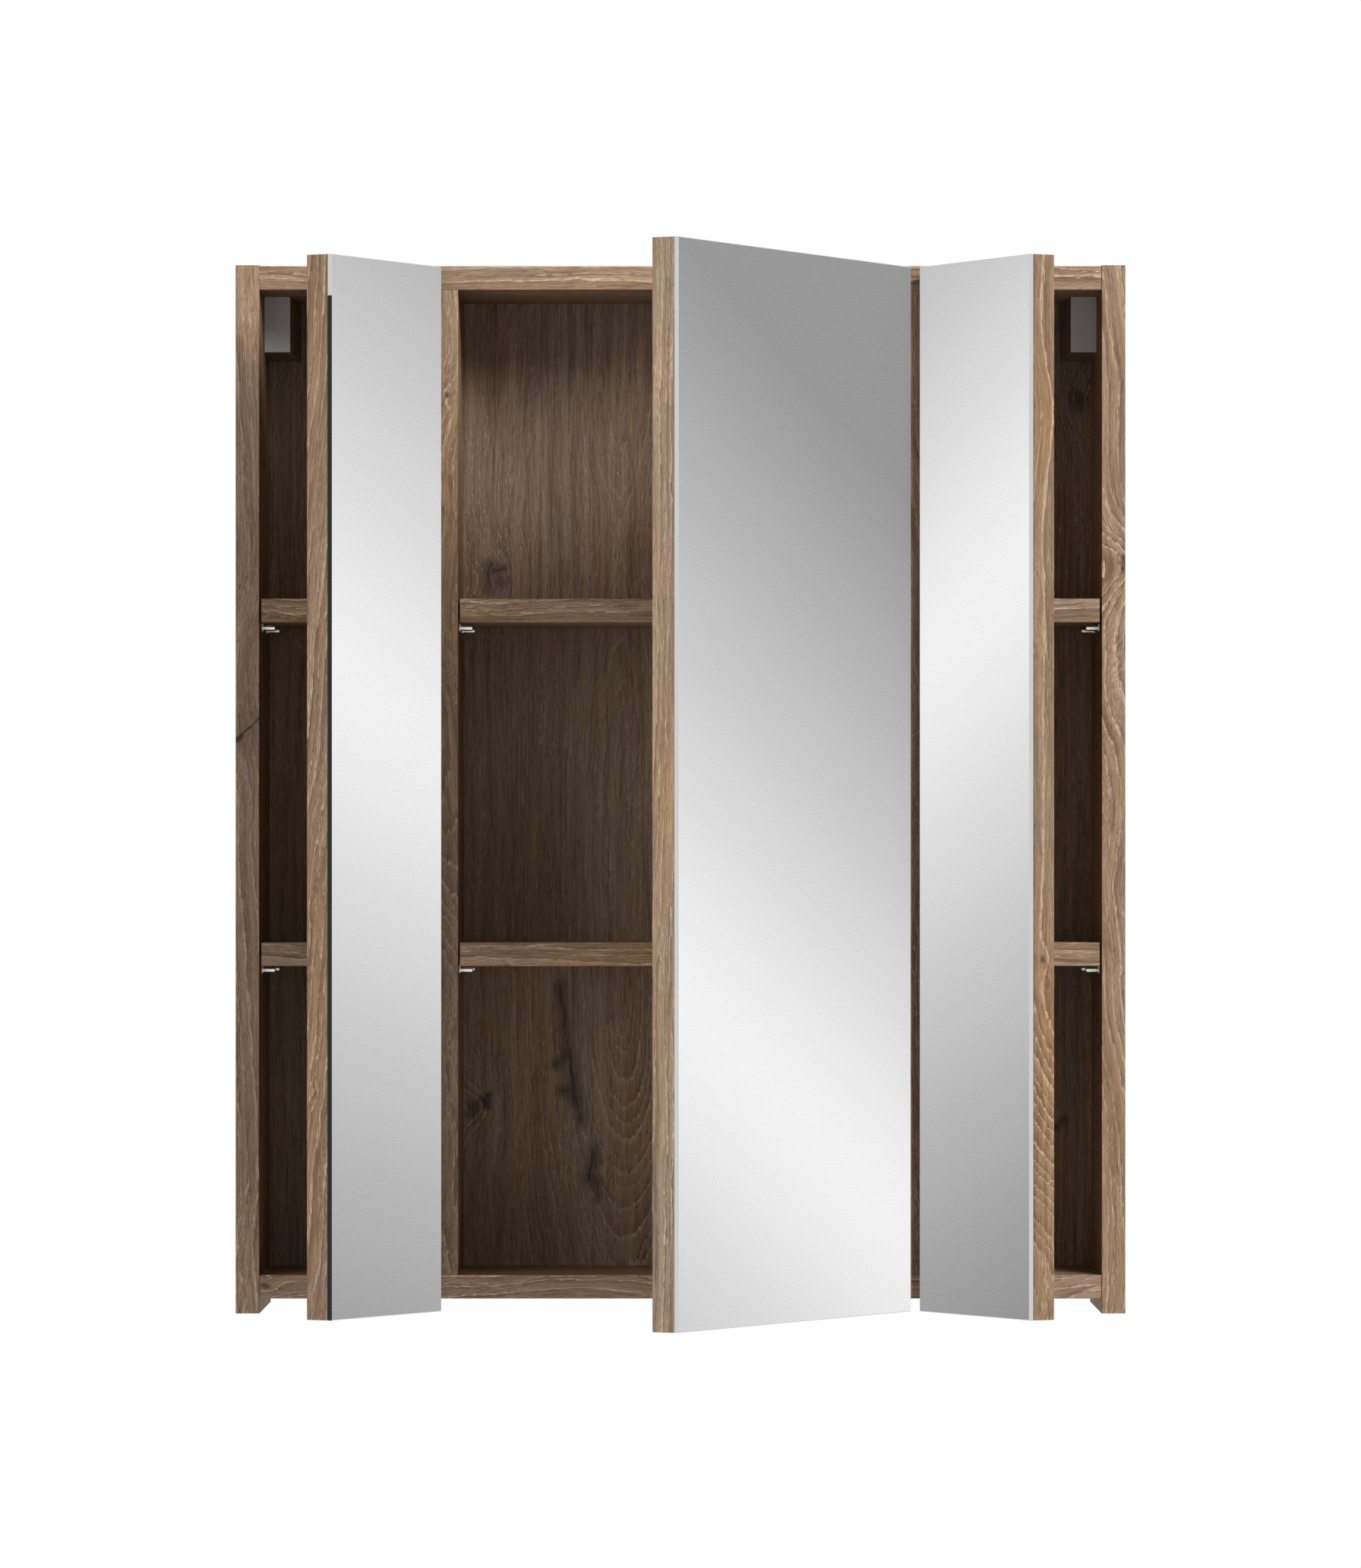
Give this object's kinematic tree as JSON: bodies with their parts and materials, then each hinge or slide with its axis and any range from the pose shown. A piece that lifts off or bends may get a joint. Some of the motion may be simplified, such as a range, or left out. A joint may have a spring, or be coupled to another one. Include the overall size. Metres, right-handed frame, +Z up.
{
  "type": "mirror cabinet",
  "caption": "Wall-hung bathroom mirror cabinet in oak decor with mirrored doors on concealed hinges, inner dividers, loose shelves on pins and hidden wall hangers",
  "frame": {"origin": "on the wall plane, midway between the wall plates' screw holes", "axes": "+X to the viewer's right, +Y into the wall, +Z up; the doors face -Y"},
  "size_m": [0.6, 0.442, 0.707],
  "materials": {
    "oak_decor": "textured oak decor foil, matte, warm mid brown with pale pores",
    "back_decor": "textured oak decor foil on thin board, matte",
    "dowel_wood": "bare beech",
    "mirror_glass": "silvered glass with polished edges",
    "tape": "foam mounting tape",
    "nickel": "nickel plated, polished",
    "hinge_steel": "nickel plated pressed steel",
    "zinc_steel": "zinc plated",
    "screw_steel": "zinc plated",
    "cover_plastic": "matte pale grey moulding",
    "bumper": "soft clear dots"
  },
  "bodies": {
    "carcass": {"back_panel": "back_decor", "bottom_panel": "oak_decor", "cam_bolts": "screw_steel", "cam_housings": "zinc_steel", "divider_left": "oak_decor", "divider_right": "oak_decor", "divider_screws": "screw_steel", "dowels": "dowel_wood", "hanger_body_left": "zinc_steel", "hanger_body_right": "zinc_steel", "hanger_cover_left": "cover_plastic", "hanger_cover_right": "cover_plastic", "hanger_hook_left": "zinc_steel", "hanger_hook_right": "zinc_steel", "hanger_screws": "zinc_steel", "hinge_arm_pins": "screw_steel", "hinge_arm_screws": "screw_steel", "hinge_arms_centre": "hinge_steel", "hinge_arms_left": "hinge_steel", "hinge_arms_right": "hinge_steel", "hinge_plate_screws": "screw_steel", "hinge_plates_centre": "hinge_steel", "hinge_plates_left": "hinge_steel", "hinge_plates_right": "hinge_steel", "shelf_lower_centre": "oak_decor", "shelf_lower_left": "oak_decor", "shelf_lower_right": "oak_decor", "shelf_pins": "nickel", "shelf_upper_centre": "oak_decor", "shelf_upper_left": "oak_decor", "shelf_upper_right": "oak_decor", "side_panel_left": "oak_decor", "side_panel_right": "oak_decor", "top_panel": "oak_decor", "wall_plate_left": "zinc_steel", "wall_plate_right": "zinc_steel"},
    "links_left": {"hinge_links_left": "hinge_steel"},
    "door_left": {"door_board_left": "oak_decor", "door_bumpers_left": "bumper", "hinge_cup_pins_left": "screw_steel", "hinge_cup_screws_left": "screw_steel", "hinge_cups_left": "hinge_steel", "mirror_left": "mirror_glass", "mirror_tape_left": "tape"},
    "links_centre": {"hinge_links_centre": "hinge_steel"},
    "door_centre": {"door_board_centre": "oak_decor", "door_bumpers_centre": "bumper", "hinge_cup_pins_centre": "screw_steel", "hinge_cup_screws_centre": "screw_steel", "hinge_cups_centre": "hinge_steel", "mirror_centre": "mirror_glass", "mirror_tape_centre": "tape"},
    "links_right": {"hinge_links_right": "hinge_steel"},
    "door_right": {"door_board_right": "oak_decor", "door_bumpers_right": "bumper", "hinge_cup_pins_right": "screw_steel", "hinge_cup_screws_right": "screw_steel", "hinge_cups_right": "hinge_steel", "mirror_right": "mirror_glass", "mirror_tape_right": "tape"}
  },
  "joints": [
    {"name": "links_left_turn", "type": "hinge", "parent": "carcass", "child": "links_left", "pos_m": [-0.1815, -0.1422, 0], "axis": [0, 0, 1], "range_deg": [-10.8, 21.6]},
    {"name": "door_left_open", "type": "hinge", "parent": "links_left", "child": "door_left", "pos_m": [-0.17694, -0.17035, 0], "axis": [0, 0, 1], "range_deg": [-81.6, 40.8]},
    {"name": "links_centre_turn", "type": "hinge", "parent": "carcass", "child": "links_centre", "pos_m": [0.1345, -0.1422, 0], "axis": [0, 0, 1], "range_deg": [-10.8, 21.6]},
    {"name": "door_centre_open", "type": "hinge", "parent": "links_centre", "child": "door_centre", "pos_m": [0.13906, -0.17035, 0], "axis": [0, 0, 1], "range_deg": [-81.6, 40.8]},
    {"name": "links_right_turn", "type": "hinge", "parent": "carcass", "child": "links_right", "pos_m": [0.1815, -0.1422, 0], "axis": [0, 0, -1], "range_deg": [-10.8, 21.6]},
    {"name": "door_right_open", "type": "hinge", "parent": "links_right", "child": "door_right", "pos_m": [0.17694, -0.17035, 0], "axis": [0, 0, -1], "range_deg": [-81.6, 40.8]}
  ],
  "couplings": [
    {"joint": "links_left_turn", "follows": "door_left_open", "ratio": -0.26471},
    {"joint": "links_centre_turn", "follows": "door_centre_open", "ratio": -0.26471},
    {"joint": "links_right_turn", "follows": "door_right_open", "ratio": -0.26471}
  ]
}
